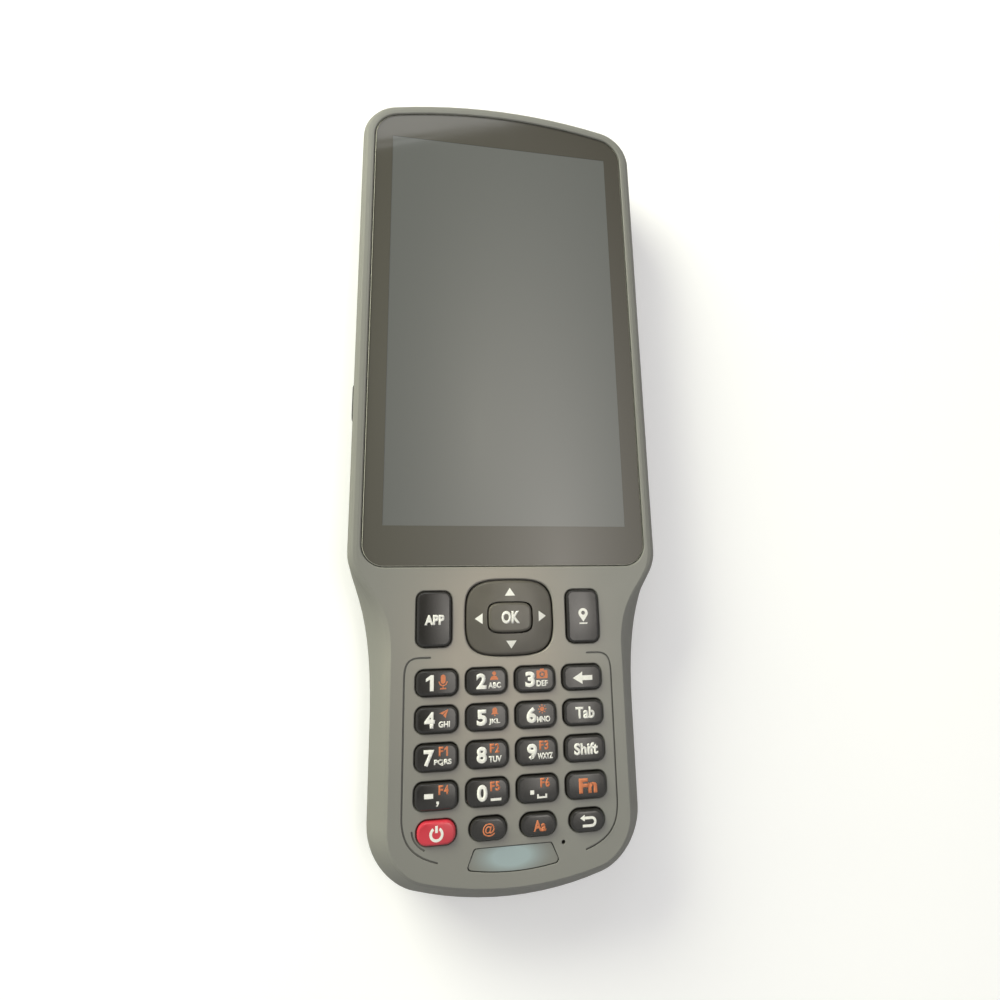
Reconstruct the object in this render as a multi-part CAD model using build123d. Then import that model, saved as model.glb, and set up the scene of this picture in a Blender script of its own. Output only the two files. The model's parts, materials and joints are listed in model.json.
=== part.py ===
from build123d import *
import math
import os

# Handheld surveying data collector: a 5.5 inch display above a waisted keypad grip.
# Millimetres. The device lies on its back: +X is its right side, +Y its display end,
# +Z comes out of the screen. The origin is the middle of the flat back.

# ---- overall shape -------------------------------------------------------------------
LENGTH = 231.5
HEAD_WIDTH = 86.6
GRIP_WIDTH = 72.8
THICKNESS = 19.0
SPLIT_Z = 9.0                     # parting plane between the two housing halves
TOP_CROWN_RADIUS = 168.0          # bow of the display end, seen from the front
BOTTOM_CROWN_RADIUS = 90.0        # bow of the grip end
TOP_CORNER_REACH = 9.0
BOTTOM_CORNER_REACH = 11.5
SHOULDER_TOP_Y = -28.0            # head width ends here
SHOULDER_BOTTOM_Y = -72.0         # grip width starts here
SHOULDER_PULL_Y = (-38.2, -40.2)  # heights of the S curve's two inner control points
FACE_SHOULDER_LIFT = 1.4          # the face's own S curve sits a little higher
FACE_SHOULDER_TIGHTENING = 18.0   # and settles into the grip this much sooner
RIM_RADIUS = 2.6                  # rounding of the head's front edge
FACET_WIDTH = 4.9                 # sloping facet along the grip, seen from the front
FACET_DEPTH = 7.4                 # how far that facet falls from the face
RIDGE_SOFTENING = 0.4
BACK_INSET = 4.5                  # how far the flat back stands in from the widest line
WALL = 2.4

# ---- display -------------------------------------------------------------------------
GLASS_HALF_WIDTH = 39.45
GLASS_BOTTOM_Y = -32.1
GLASS_TOP_Y = 111.55
GLASS_TOP_CORNER = 8.0
GLASS_BOTTOM_CORNER = 6.0
GLASS_THICKNESS = 0.95
GLASS_GAP = 0.22
TAPE_THICKNESS = 0.2
TAPE_WIDTH = 2.4
DISPLAY_WIDTH = 71.5
DISPLAY_HEIGHT = 128.0
DISPLAY_Y = 39.75
DISPLAY_BACK_Z = 16.2
GLASS_Z = 18.0                    # back face of the cover glass

# ---- keypad --------------------------------------------------------------------------
KEY_WALL_Z = 17.2                 # inner side of the wall the keys pass through
KEY_GAP = 0.15
KEY_TRAVEL = 0.5
KEY_BASE_Z = 15.9
KEY_LIP = 0.55
KEY_LIP_HEIGHT = 1.2
KEY_TOP_Z = 20.05
KEY_CROWN_RADIUS = 55.0
COLUMN_PITCH = 12.91
ROW_PITCH = 8.883
FIRST_ROW_Y = -61.81
GRID_APERTURE = (10.95, 6.5)
GRID_CORNER = 2.1
LAST_ROW_Y = -96.71
LAST_COLUMN_PITCH = 12.82
SMALL_APERTURE = (9.4, 5.4)
POWER_APERTURE = (9.8, 5.7)
TALL_APERTURE = (9.3, 14.3)
TALL_KEY_X = 20.24
TALL_KEY_Y = -45.85
NAV_Y = -45.8
NAV_APERTURE = (24.2, 20.1)
NAV_SQUARENESS = 3.6
NAV_GAP = 0.3
NAV_TOP_Z = 20.2
OK_APERTURE = (12.2, 8.2)
OK_SQUARENESS = 4.2
OK_TOP_Z = 20.45
APERTURE_BEVEL = 0.3

KEY_ROWS = (
    ("key_1", "key_2", "key_3", "key_backspace"),
    ("key_4", "key_5", "key_6", "key_tab"),
    ("key_7", "key_8", "key_9", "key_shift"),
    ("key_minus", "key_0", "key_dot", "key_fn"),
)
LAST_ROW = ("key_power", "key_at", "key_letter_case", "key_return")

# ---- boards and mat under the keys ---------------------------------------------------
KEYPAD_HALF_WIDTH = 27.5
KEYPAD_TOP_Y = -34.2
KEYPAD_BOTTOM_Y = -101.2
BOARD_THICKNESS = 1.0
KEYPAD_BOARD_Z = 13.0
DOME_RADII = (1.9, 1.2)           # foot and top of a snap dome
DOME_HEIGHT = 0.18
MAT_SHEET = (14.2, 14.6)
MAT_PAD_TOP_Z = KEY_BASE_Z - KEY_TRAVEL - 0.15
MAT_BOTTOM_Y = -99.9
MAIN_BOARD_Z = 11.2
MIDFRAME = (63.4, 128.0, 1.0)

# ---- face details --------------------------------------------------------------------
GROOVE_WIDTH = 0.4
GROOVE_DEPTH = 0.35
GROOVE_X = 27.7
GROOVE_TOP_Y = -55.6
GROOVE_END_X = 21.0
NAMEPLATE_Y = (-101.1, -105.9)
NAMEPLATE_HALF_WIDTH = (9.9, 11.9)
NAMEPLATE_SAG = 1.1
NAMEPLATE_DEPTH = 0.9
NAMEPLATE_THICKNESS = 0.8
NAMEPLATE_GAP = 0.2
MICROPHONE_XY = (12.9, -101.45)
MICROPHONE_HOLE_RADIUS = 0.5

# ---- case screws ---------------------------------------------------------------------
SCREW_X = 35.5
SCREW_YS = (104.0, 40.0, -26.0)
GRIP_SCREW = (19.0, -105.5)
SCREW_RADIUS = 1.25
SCREW_HEAD_RADIUS = 2.0
SCREW_HEAD = (1.0, 2.6)
SCREW_TIP_Z = 13.0
BOSS_RADIUS = 3.2

# ---- battery and its door ------------------------------------------------------------
DOOR_SIZE = (59.0, 90.0, 1.8)
DOOR_Y = -56.0
DOOR_CORNER = 9.0
DOOR_GAP = 0.15
BAY_SIZE = (53.0, 67.0)
BAY_WALL = 2.0
BAY_CEILING_Z = 10.6
BATTERY_SIZE = (52.0, 66.0, 8.0)
BATTERY_Z = 2.4
DOOR_SCREW_YS = (-16.0, -96.0)
DOOR_SCREW_RADIUS = 1.5
DOOR_SCREW_HEAD_RADIUS = 3.6
DOOR_SCREW_CLEARANCE = 0.1
SEAL_WIDTH = 1.0

# ---- port and its flap ---------------------------------------------------------------
FLAP_SIZE = (14.5, 5.6)
FLAP_Z = 4.9
FLAP_TAB = (3.2, 6.2)
FLAP_INNER_Y = -113.4
FLAP_FREE_END_GAP = 0.4
PORT_SIZE = (9.0, 3.2, 7.2)

# ---- side button ---------------------------------------------------------------------
BUTTON_Y = 14.8
BUTTON_Z = 12.5
BUTTON_SIZE = (11.0, 4.0)
BUTTON_PROUD = 0.5
BUTTON_INNER_X = -40.2
BUTTON_TRAVEL = 0.4

# ---- rear camera, lamp and speaker ---------------------------------------------------
CAMERA_XY = (-20.0, 92.0)
CAMERA_WINDOW_RADIUS = 6.8
FLASH_XY = (-5.0, 92.0)
FLASH_RADIUS = 2.6
SPEAKER_XY = (21.0, 90.0)
SPEAKER_SLOT = (12.0, 1.2)


# ======================================================================================
# Shared helpers
# ======================================================================================

def block(size, centre):
    """A box given by its size and the position of its centre."""
    return Pos(*centre) * Box(*size)


def span_box(x, y, z):
    """A box given by its low and high limit on each axis."""
    size = (x[1] - x[0], y[1] - y[0], z[1] - z[0])
    centre = ((x[0] + x[1]) / 2, (y[0] + y[1]) / 2, (z[0] + z[1]) / 2)
    return block(size, centre)


def rod(radius, x, y, z_low, z_high):
    """A vertical cylinder between two heights."""
    return Pos(x, y, (z_low + z_high) / 2) * Cylinder(radius, z_high - z_low)


def plate(sketch, z_low, z_high, x=0.0, y=0.0):
    """A flat sketch raised from one height to another."""
    return extrude(Pos(x, y, z_low) * sketch, z_high - z_low)


def mirrored_pair(shape):
    """The shape and its mirror image across the YZ plane."""
    return shape + mirror(shape, about=Plane.YZ)


def superellipse(width, height, squareness):
    """A squarish oval, closer to a rectangle as its squareness grows."""
    points = []
    for step in range(32):
        angle = 2 * math.pi * step / 32
        x = math.copysign(abs(math.cos(angle)) ** (2 / squareness), math.cos(angle))
        y = math.copysign(abs(math.sin(angle)) ** (2 / squareness), math.sin(angle))
        points.append((width / 2 * x, height / 2 * y))
    return make_face(Spline(*points, periodic=True))


# ======================================================================================
# Outer form
# ======================================================================================

def crown_drop(radius, x):
    """How far a bowed end falls back at distance x from the centre line."""
    return radius - math.sqrt(radius ** 2 - x ** 2)


def outline(z, head_inset, grip_inset, face_share=0.0):
    """The device's outline at height z, drawn in from its widest line.

    face_share runs from nought at the widest line to one at the face, where the
    shoulders turn in more tightly.
    """
    head = HEAD_WIDTH / 2 - head_inset
    grip = GRIP_WIDTH / 2 - grip_inset
    top = LENGTH / 2 - head_inset
    bottom = -LENGTH / 2 + grip_inset
    top_x = head - TOP_CORNER_REACH + head_inset / 2
    top_y = top - crown_drop(TOP_CROWN_RADIUS, top_x)
    side_top_y = top - crown_drop(TOP_CROWN_RADIUS, head) - TOP_CORNER_REACH + head_inset / 2
    bottom_x = grip - BOTTOM_CORNER_REACH + grip_inset / 2
    bottom_y = bottom + crown_drop(BOTTOM_CROWN_RADIUS, bottom_x)
    corner_y = bottom + crown_drop(BOTTOM_CROWN_RADIUS, grip)
    side_bottom_y = corner_y + BOTTOM_CORNER_REACH - grip_inset / 2
    top_slope = top_x / math.sqrt(TOP_CROWN_RADIUS ** 2 - top_x ** 2)
    bottom_slope = bottom_x / math.sqrt(BOTTOM_CROWN_RADIUS ** 2 - bottom_x ** 2)
    top_pull = 0.58 * (head - top_x)
    bottom_pull = 0.58 * (grip - bottom_x)
    upper_pull_y = SHOULDER_PULL_Y[0] + face_share * FACE_SHOULDER_LIFT
    lower_pull_y = SHOULDER_PULL_Y[1] + face_share * FACE_SHOULDER_LIFT
    shoulder_end_y = SHOULDER_BOTTOM_Y + face_share * FACE_SHOULDER_TIGHTENING
    right_side = [
        Bezier((top_x, top_y), (top_x + top_pull, top_y - top_slope * top_pull),
               (head, side_top_y + top_pull), (head, side_top_y)),
        Line((head, side_top_y), (head, SHOULDER_TOP_Y)),
        Bezier((head, SHOULDER_TOP_Y), (head, upper_pull_y),
               (grip, lower_pull_y), (grip, shoulder_end_y)),
        Line((grip, shoulder_end_y), (grip, side_bottom_y)),
        Bezier((grip, side_bottom_y), (grip, side_bottom_y - bottom_pull),
               (bottom_x + bottom_pull, bottom_y + bottom_slope * bottom_pull),
               (bottom_x, bottom_y)),
    ]
    left_side = [edge.mirror(Plane.YZ) for edge in reversed(right_side)]
    top_bow = ThreePointArc((-top_x, top_y), (0, top), (top_x, top_y))
    bottom_bow = ThreePointArc((bottom_x, bottom_y), (0, bottom), (-bottom_x, bottom_y))
    wire = Wire([top_bow] + right_side + [bottom_bow] + left_side)
    return Pos(0, 0, z) * wire


def facet_inset(depth):
    """How far the grip's sloping facet stands in at a depth below the face."""
    inset = max(0.0, FACET_WIDTH * (1 - depth / FACET_DEPTH))
    softening = RIDGE_SOFTENING * max(0.0, 1 - depth / 0.6)
    return inset + softening


def face_share(depth):
    """How much of the face's own outline shows at a depth below it."""
    return 1 - depth / FACET_DEPTH


def front_levels():
    """Heights and insets that give the front half its rounded rim and facet."""
    levels = [(SPLIT_Z, 0.25, 0.15), (THICKNESS - 8.2, 0.1, 0.0)]
    depth = 6.6
    levels.append((THICKNESS - depth, 0.0, facet_inset(depth), face_share(depth)))
    for degrees in (0, 22.5, 45, 67.5, 90):
        depth = RIM_RADIUS * (1 - math.sin(math.radians(degrees)))
        rim_inset = RIM_RADIUS * (1 - math.cos(math.radians(degrees)))
        levels.append((THICKNESS - depth, rim_inset, facet_inset(depth), face_share(depth)))
    return levels


def rear_levels():
    """Heights and insets that round the back edge towards the flat back."""
    return [
        (0.0, BACK_INSET, BACK_INSET),
        (0.6, 2.9, 3.0),
        (1.8, 1.5, 1.7),
        (4.2, 0.6, 0.7),
        (SPLIT_Z, 0.25, 0.15),
    ]


def stacked_form(levels):
    """A solid drawn through outlines at several heights."""
    return Solid.make_loft([outline(*level) for level in levels], ruled=True)


def front_form():
    return stacked_form(front_levels())


def rear_form():
    return stacked_form(rear_levels())


# ======================================================================================
# Keys
# ======================================================================================

def grid_positions():
    """Name, x and y of the sixteen keys in the four even rows."""
    places = []
    for row, names in enumerate(KEY_ROWS):
        for column, name in enumerate(names):
            x = (column - 1.5) * COLUMN_PITCH
            places.append((name, x, FIRST_ROW_Y - row * ROW_PITCH))
    return places


def last_row_positions():
    """Name, x and y of the four small keys at the bottom."""
    return [(name, (column - 1.5) * LAST_COLUMN_PITCH, LAST_ROW_Y)
            for column, name in enumerate(LAST_ROW)]


def key_places():
    """Name, x, y and aperture of every straight-travel key around the ring."""
    places = [(name, x, y, GRID_APERTURE) for name, x, y in grid_positions()]
    for name, x, y in last_row_positions():
        size = POWER_APERTURE if name == "key_power" else SMALL_APERTURE
        places.append((name, x, y, size))
    places.append(("app_key", -TALL_KEY_X, TALL_KEY_Y, TALL_APERTURE))
    places.append(("pin_key", TALL_KEY_X, TALL_KEY_Y, TALL_APERTURE))
    return places


def key_plan(size, grow=0.0):
    """The rounded plan of a key or its aperture, grown or shrunk all round."""
    corner = 2.6 if size in (SMALL_APERTURE, POWER_APERTURE) else GRID_CORNER
    return RectangleRounded(size[0] + 2 * grow, size[1] + 2 * grow, corner + grow)


def crowned(plan, top_z, rounding):
    """A cap with a gently domed top and a rounded upper edge."""
    cap = plate(plan, KEY_BASE_Z, top_z + 1)
    dome = Pos(0, 0, top_z - KEY_CROWN_RADIUS) * Sphere(KEY_CROWN_RADIUS)
    cap = cap & dome
    top_face = cap.faces().sort_by(Axis.Z)[-1]
    return fillet(top_face.edges(), rounding)


def keycap(size):
    """A keycap with the lip that holds it behind the housing wall."""
    cap = crowned(key_plan(size, -KEY_GAP), KEY_TOP_Z, 0.7)
    lip = plate(key_plan(size, KEY_LIP), KEY_BASE_Z, KEY_BASE_Z + KEY_LIP_HEIGHT)
    return cap + lip


def nav_plan(grow):
    return superellipse(NAV_APERTURE[0] + 2 * grow, NAV_APERTURE[1] + 2 * grow, NAV_SQUARENESS)


def ok_plan(grow):
    return superellipse(OK_APERTURE[0] + 2 * grow, OK_APERTURE[1] + 2 * grow, OK_SQUARENESS)


def nav_ring():
    """The four-way ring, with its lip and the opening for the middle key."""
    ring = crowned(nav_plan(-NAV_GAP), NAV_TOP_Z, 0.9)
    ring += plate(nav_plan(0.6), 16.0, 16.6)
    ring -= plate(nav_plan(1.0), KEY_BASE_Z - 1, 16.0)
    ring -= plate(ok_plan(0.1), 15.0, 22.0)
    ring -= plate(ok_plan(1.6), 15.0, 16.9)
    return Pos(0, NAV_Y, 0) * ring


def ok_key():
    """The middle key, held by a lip that sits inside the ring's underside."""
    cap = crowned(ok_plan(-0.2), OK_TOP_Z, 0.8)
    lip = plate(ok_plan(0.9), KEY_BASE_Z, 16.3)
    return Pos(0, NAV_Y, 0) * (cap + lip)


def nav_gimbal():
    """The carrier that lets the ring rock about a second axis."""
    frame = plate(superellipse(21.5, 17.5, NAV_SQUARENESS), 14.95, 15.45)
    frame -= plate(ok_plan(1.6), 14.0, 16.0)
    return Pos(0, NAV_Y, 0) * frame


# ======================================================================================
# Front housing
# ======================================================================================

def glass_plan(grow=0.0):
    """Cover glass plan: straight sides, bowed top edge, rounded corners."""
    half = GLASS_HALF_WIDTH + grow
    bottom = GLASS_BOTTOM_Y - grow
    top = GLASS_TOP_Y + grow
    shoulder = top - crown_drop(TOP_CROWN_RADIUS, half)
    edges = [
        Line((-half, bottom), (half, bottom)),
        Line((half, bottom), (half, shoulder)),
        ThreePointArc((half, shoulder), (0, top), (-half, shoulder)),
        Line((-half, shoulder), (-half, bottom)),
    ]
    face = make_face(edges)
    corners = face.vertices().sort_by(Axis.Y)
    face = fillet(corners[:2], GLASS_BOTTOM_CORNER + grow)
    corners = face.vertices().sort_by(Axis.Y)
    upper = [v for v in corners if v.Y > shoulder - 0.01 and abs(v.X) > half - 0.01]
    return fillet(upper, GLASS_TOP_CORNER + grow)


def front_cavity():
    """The hollow of the front half, following the outer form one wall in."""
    levels = [
        (SPLIT_Z, WALL, WALL),
        (THICKNESS - 6.6, WALL, WALL + 0.6, face_share(6.6)),
        (DISPLAY_BACK_Z, WALL, WALL + 3.2, face_share(THICKNESS - DISPLAY_BACK_Z)),
    ]
    hollow = stacked_form(levels)
    keypad = RectangleRounded(2 * KEYPAD_HALF_WIDTH, KEYPAD_TOP_Y - KEYPAD_BOTTOM_Y, 6.0)
    keypad_y = (KEYPAD_TOP_Y + KEYPAD_BOTTOM_Y) / 2
    return hollow + plate(keypad, DISPLAY_BACK_Z - 1, KEY_WALL_Z, y=keypad_y)


def bevelled_cut(plan, x, y):
    """A through opening in the face with a small bevel at its mouth."""
    bevel_z = THICKNESS - APERTURE_BEVEL
    opening = plate(plan, KEY_WALL_Z - 0.5, THICKNESS + 1, x, y)
    mouth = extrude(Pos(x, y, bevel_z) * plan, APERTURE_BEVEL + 0.1, taper=-45)
    return opening + mouth


def key_openings():
    """Cutters for every key and for the navigation ring."""
    cutters = [bevelled_cut(key_plan(size), x, y) for name, x, y, size in key_places()]
    cutters.append(bevelled_cut(nav_plan(0.0), 0, NAV_Y))
    return cutters


def display_opening():
    """The glass recess with its bevelled lip, and the window behind it."""
    ledge_z = GLASS_Z - TAPE_THICKNESS
    recess = plate(glass_plan(GLASS_GAP), ledge_z, THICKNESS + 1)
    bevel_z = THICKNESS - APERTURE_BEVEL
    lip = extrude(Pos(0, 0, bevel_z) * glass_plan(GLASS_GAP), APERTURE_BEVEL + 0.1, taper=-45)
    window = block((DISPLAY_WIDTH + 0.6, DISPLAY_HEIGHT + 0.6, 4.0), (0, DISPLAY_Y, ledge_z - 1))
    return [recess, lip, window]


def groove_path():
    """Centre line of the right-hand bracket groove around the keys."""
    return [
        Line((GROOVE_END_X, GROOVE_TOP_Y), (GROOVE_X - 4.0, GROOVE_TOP_Y)),
        Bezier((GROOVE_X - 4.0, GROOVE_TOP_Y), (GROOVE_X - 0.6, GROOVE_TOP_Y),
               (GROOVE_X, GROOVE_TOP_Y - 1.8), (GROOVE_X, GROOVE_TOP_Y - 5.4)),
        Line((GROOVE_X, GROOVE_TOP_Y - 5.4), (GROOVE_X, -93.5)),
        Bezier((GROOVE_X, -93.5), (GROOVE_X - 0.3, -99.5),
               (24.2, -102.0), (18.8, -103.6)),
    ]


def face_grooves():
    """The two bracket grooves and the short arc beside the power key."""
    bracket = trace(groove_path(), GROOVE_WIDTH)
    power_arc = trace(Bezier((-25.2, -96.2), (-24.9, -99.0), (-22.0, -100.6)), GROOVE_WIDTH)
    floor_z = THICKNESS - GROOVE_DEPTH
    brackets = mirrored_pair(plate(bracket, floor_z, THICKNESS + 1))
    return brackets + plate(power_arc, floor_z, THICKNESS + 1)


def nameplate_plan(shrink=0.0):
    """The small tapering plate below the keys, with a bowed lower edge."""
    top_y = NAMEPLATE_Y[0] - shrink
    bottom_y = NAMEPLATE_Y[1] + shrink
    top_x = NAMEPLATE_HALF_WIDTH[0] - shrink
    bottom_x = NAMEPLATE_HALF_WIDTH[1] - shrink
    face = make_face([
        Line((-top_x, top_y), (top_x, top_y)),
        Line((top_x, top_y), (bottom_x, bottom_y)),
        ThreePointArc((bottom_x, bottom_y), (0, bottom_y - NAMEPLATE_SAG), (-bottom_x, bottom_y)),
        Line((-bottom_x, bottom_y), (-top_x, top_y)),
    ])
    return fillet(face.vertices(), 0.9)


def screw_places():
    """Centres of the eight case screws."""
    places = [(side * SCREW_X, y) for y in SCREW_YS for side in (-1, 1)]
    return places + [(side * GRIP_SCREW[0], GRIP_SCREW[1]) for side in (-1, 1)]


def side_ribs(z_low, z_high):
    """Ribs that tie the head's screw bosses to the side walls."""
    rib_x = (SCREW_X, HEAD_WIDTH / 2 - WALL + 0.6)
    ribs = [span_box(rib_x, (y - 2.0, y + 2.0), (z_low, z_high)) for y in SCREW_YS]
    return mirrored_pair(ribs[0] + ribs[1] + ribs[2])


def front_bosses():
    """Screw bosses hanging from the front half."""
    bosses = side_ribs(SPLIT_Z, DISPLAY_BACK_Z)
    for x, y in screw_places():
        bosses += rod(BOSS_RADIUS, x, y, SPLIT_Z, DISPLAY_BACK_Z)
    return bosses


def side_button_plan(grow):
    """Pill-shaped outline of the side button, drawn on the left wall."""
    length = BUTTON_SIZE[0] + 2 * grow
    height = BUTTON_SIZE[1] + 2 * grow
    left_wall = Plane(origin=(0, BUTTON_Y, BUTTON_Z), x_dir=(0, -1, 0), z_dir=(-1, 0, 0))
    return left_wall * SlotOverall(length, height)


def side_bar(plan, x_outer, x_inner):
    """A bar of the given plan through the left wall."""
    return extrude(Pos(x_inner, 0, 0) * plan, abs(x_outer - x_inner))


def front_housing():
    shell = front_form() - front_cavity() + front_bosses()
    for cutter in key_openings() + display_opening():
        shell -= cutter
    shell -= face_grooves()
    shell -= plate(nameplate_plan(), THICKNESS - NAMEPLATE_DEPTH, THICKNESS + 1)
    shell -= rod(MICROPHONE_HOLE_RADIUS, *MICROPHONE_XY, 15.0, 20.0)
    for x, y in screw_places():
        shell -= rod(SCREW_RADIUS + 0.05, x, y, SPLIT_Z - 1, SCREW_TIP_Z + 0.4)
    return shell - side_bar(side_button_plan(0.12), -45.0, -39.0)


def nameplate():
    """Blank plate lying on the floor of its recess."""
    floor_z = THICKNESS - NAMEPLATE_DEPTH
    return plate(nameplate_plan(NAMEPLATE_GAP), floor_z, floor_z + NAMEPLATE_THICKNESS)


# ======================================================================================
# Rear housing
# ======================================================================================

def door_plan(grow=0.0):
    return RectangleRounded(DOOR_SIZE[0] + 2 * grow, DOOR_SIZE[1] + 2 * grow, DOOR_CORNER + grow)


def seal_ring(grow, z_low, z_high):
    """A band around the battery bay, used for the door seal and its groove."""
    outer = RectangleRounded(BAY_SIZE[0] + 3.4 + 2 * grow, BAY_SIZE[1] + 3.4 + 2 * grow, 4.0)
    inner_width = BAY_SIZE[0] + 3.4 - 2 * SEAL_WIDTH - 2 * grow
    inner_height = BAY_SIZE[1] + 3.4 - 2 * SEAL_WIDTH - 2 * grow
    ring = outer - RectangleRounded(inner_width, inner_height, 3.2)
    return plate(ring, z_low, z_high, y=DOOR_Y)


def rear_cavity():
    """The hollow of the rear half in two steps that follow the rounded edge."""
    low = stacked_form([(2.0, 4.0, 4.2), (4.6, WALL + 0.4, WALL + 0.4)])
    high = stacked_form([(4.6, WALL + 0.4, WALL + 0.4), (SPLIT_Z, WALL, WALL)])
    return low + high


def rear_bosses():
    """Screw bosses, their ribs and the door screws' bosses, kept inside the outer skin."""
    bosses = side_ribs(2.0, SPLIT_Z)
    for x, y in screw_places():
        bosses += rod(BOSS_RADIUS, x, y, 1.5, SPLIT_Z)
    for y in DOOR_SCREW_YS:
        bosses += rod(BOSS_RADIUS + 0.8, 0, y, 1.5, SPLIT_Z)
    return bosses & rear_form()


def battery_bay():
    """Walls and ceiling around the battery."""
    wall = 2 * BAY_WALL
    outer = RectangleRounded(BAY_SIZE[0] + wall, BAY_SIZE[1] + wall, 3.0)
    return plate(outer, 1.5, BAY_CEILING_Z + 1.0, y=DOOR_Y)


def bay_hollow():
    """Space for the battery, open to the back."""
    return plate(RectangleRounded(*BAY_SIZE, 0.8), -1, BAY_CEILING_Z, y=DOOR_Y)


def port_block():
    """Thickened wall behind the port flap."""
    return span_box((-9.5, 9.5), (FLAP_INNER_Y - 0.6, FLAP_INNER_Y + 2.0), (1.8, SPLIT_Z))


def flap_prism(grow_left, grow_right, grow_z, inner_y):
    """Rounded prism that marks out the flap in the bottom wall."""
    width = FLAP_SIZE[0] + grow_left + grow_right
    height = FLAP_SIZE[1] + 2 * grow_z
    bottom_end = Plane(origin=(0, inner_y, FLAP_Z), x_dir=(1, 0, 0), z_dir=(0, -1, 0))
    plan = bottom_end * RectangleRounded(width, height, 1.6)
    return Pos((grow_right - grow_left) / 2, 0, 0) * extrude(plan, 10)


def port_opening():
    """Recess for the flap and the smaller hole for the plug."""
    recess = flap_prism(DOOR_GAP, FLAP_FREE_END_GAP, DOOR_GAP, FLAP_INNER_Y)
    bottom_end = Plane(origin=(0, -105.0, FLAP_Z), x_dir=(1, 0, 0), z_dir=(0, -1, 0))
    hole = extrude(bottom_end * SlotOverall(PORT_SIZE[0] + 0.6, PORT_SIZE[1] + 0.6), 12)
    return recess + hole


def speaker_grille():
    """Five slots in front of the speaker."""
    x, y = SPEAKER_XY
    slots = [plate(SlotOverall(*SPEAKER_SLOT), -1, 3, x, y + step * 2.4) for step in range(-2, 3)]
    grille = slots[0]
    for slot in slots[1:]:
        grille += slot
    return grille


def camera_openings():
    """Seats for the camera window and the lamp lens."""
    window = rod(CAMERA_WINDOW_RADIUS + 0.1, *CAMERA_XY, -1, 1.2)
    barrel = rod(4.6, *CAMERA_XY, 0, 3)
    lamp = rod(FLASH_RADIUS + 0.1, *FLASH_XY, -1, 3)
    return window + barrel + lamp


def seal_groove():
    """Groove for the housing gasket in the rear half's rim."""
    outer = stacked_form([(SPLIT_Z - 1.0, 0.85, 0.85), (SPLIT_Z + 0.5, 0.85, 0.85)])
    inner = stacked_form([(SPLIT_Z - 1.0, 1.85, 1.85), (SPLIT_Z + 0.5, 1.85, 1.85)])
    return outer - inner


def rear_housing():
    shell = rear_form() - rear_cavity() + rear_bosses() + battery_bay() + port_block()
    shell -= plate(door_plan(DOOR_GAP), -1, DOOR_SIZE[2] + DOOR_GAP, y=DOOR_Y)
    shell -= bay_hollow()
    shell -= seal_ring(0.1, DOOR_SIZE[2], 2.7)
    shell -= seal_groove()
    shell -= block((14.4, 6.0, 4.4), (0, DOOR_Y + BAY_SIZE[1] / 2 + 1.0, 7.0))
    for x, y in screw_places():
        shell -= rod(SCREW_RADIUS + 0.05, x, y, 0, SPLIT_Z + 1)
        shell -= rod(SCREW_HEAD_RADIUS + 0.15, x, y, -1, SCREW_HEAD[1])
    for y in DOOR_SCREW_YS:
        shell -= rod(DOOR_SCREW_RADIUS + DOOR_SCREW_CLEARANCE, 0, y, 0, 8.0)
    shell -= port_opening()
    shell -= speaker_grille()
    return shell - camera_openings()


# ======================================================================================
# Battery door, flap and side button
# ======================================================================================

def battery_door():
    """Flat door with seats for its two screws and a shallow grip pattern."""
    door = plate(door_plan(), 0, DOOR_SIZE[2], y=DOOR_Y)
    door = chamfer(door.faces().sort_by(Axis.Z)[0].edges(), 0.3)
    for y in DOOR_SCREW_YS:
        door -= rod(DOOR_SCREW_RADIUS + DOOR_SCREW_CLEARANCE, 0, y, -1, 3)
        door -= rod(DOOR_SCREW_HEAD_RADIUS + 0.15, 0, y, -1, 1.0)
    for step in range(-3, 4):
        door -= plate(SlotOverall(34.0, 1.6), -1, 0.35, y=DOOR_Y + step * 6.0)
    return door


def door_seal():
    return seal_ring(0.0, DOOR_SIZE[2], 2.6)


def door_screw(y):
    """Coin-slot screw that rides in the door."""
    screw = rod(DOOR_SCREW_HEAD_RADIUS, 0, y, 0.1, 1.0)
    screw += rod(DOOR_SCREW_RADIUS, 0, y, 0.9, 7.4)
    return screw - block((2 * DOOR_SCREW_HEAD_RADIUS, 1.0, 1.0), (0, y, 0.1))


def usb_flap():
    """Rubber flap cut from the same curved surface as the bottom end."""
    flap = rear_form() & flap_prism(0.0, 0.0, 0.0, FLAP_INNER_Y)
    tab_y = (-LENGTH / 2 + 0.05, FLAP_INNER_Y - 0.5)
    tab_z = (FLAP_Z + 1.4, FLAP_Z + 2.4)
    return flap + span_box(FLAP_TAB, tab_y, tab_z)


def side_button():
    """Pill button with a retaining lip inside the wall."""
    outer_x = -HEAD_WIDTH / 2 - BUTTON_PROUD
    pill = side_bar(side_button_plan(0.0), outer_x, BUTTON_INNER_X)
    pill = fillet(pill.faces().sort_by(Axis.X)[0].edges(), 0.4)
    return pill + side_bar(side_button_plan(0.8), BUTTON_INNER_X - 0.6, BUTTON_INNER_X)


# ======================================================================================
# Inside the case
# ======================================================================================

def cover_glass():
    glass = plate(glass_plan(), GLASS_Z, GLASS_Z + GLASS_THICKNESS)
    return chamfer(glass.faces().sort_by(Axis.Z)[-1].edges(), 0.2)


def glass_adhesive():
    ring = glass_plan() - glass_plan(-TAPE_WIDTH)
    return plate(ring, GLASS_Z - TAPE_THICKNESS, GLASS_Z)


def display_module():
    size = (DISPLAY_WIDTH, DISPLAY_HEIGHT, GLASS_Z - DISPLAY_BACK_Z)
    return block(size, (0, DISPLAY_Y, (GLASS_Z + DISPLAY_BACK_Z) / 2))


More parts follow.
